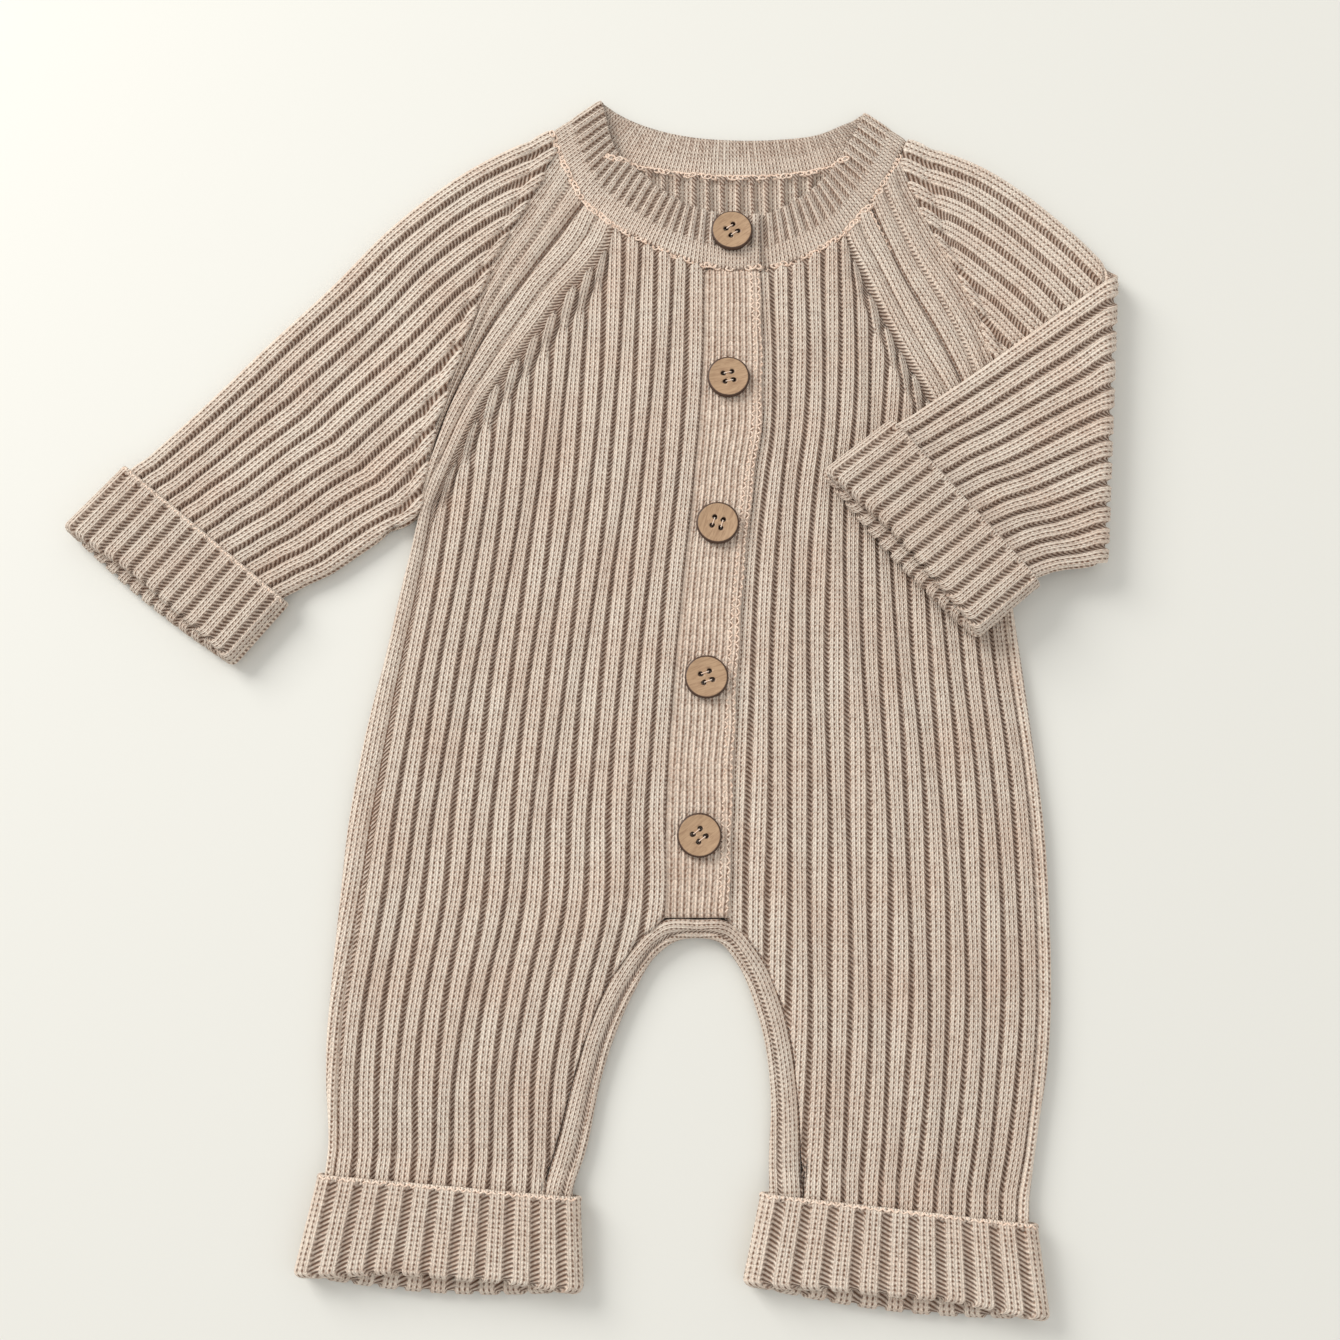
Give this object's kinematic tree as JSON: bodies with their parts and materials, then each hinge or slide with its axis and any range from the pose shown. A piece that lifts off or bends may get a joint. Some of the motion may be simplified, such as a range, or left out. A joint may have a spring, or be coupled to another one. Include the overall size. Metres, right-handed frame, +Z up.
{
  "type": "baby romper",
  "caption": "Rib-knit baby romper lying flat on its back: raglan sleeves, button front, neckband, turned-up cuffs, one sleeve folded over the chest.",
  "frame": {"origin": "centre of the bounding box on the surface the garment lies on", "axes": "+Z up from the surface to the garment's front, +Y towards the neck, +X towards the wearer's left"},
  "size_m": [0.4484, 0.5148, 0.0213],
  "materials": {
    "knit": "soft wide rib knit in warm beige",
    "button_wood": "flat turned wood with a scorched rim"
  },
  "bodies": {
    "root": {"back": "knit", "front_right": "knit", "front_left": "knit", "gusset": "knit", "sleeve_right": "knit", "sleeve_left": "knit", "neckband": "knit", "placket_buttonhole": "knit", "placket_button": "knit", "turnup_leg_right": "knit", "turnup_leg_left": "knit", "turnup_sleeve_right": "knit", "turnup_sleeve_left": "knit", "button_1": "button_wood", "button_2": "button_wood", "button_3": "button_wood", "button_4": "button_wood", "button_5": "button_wood"}
  },
  "joints": []
}
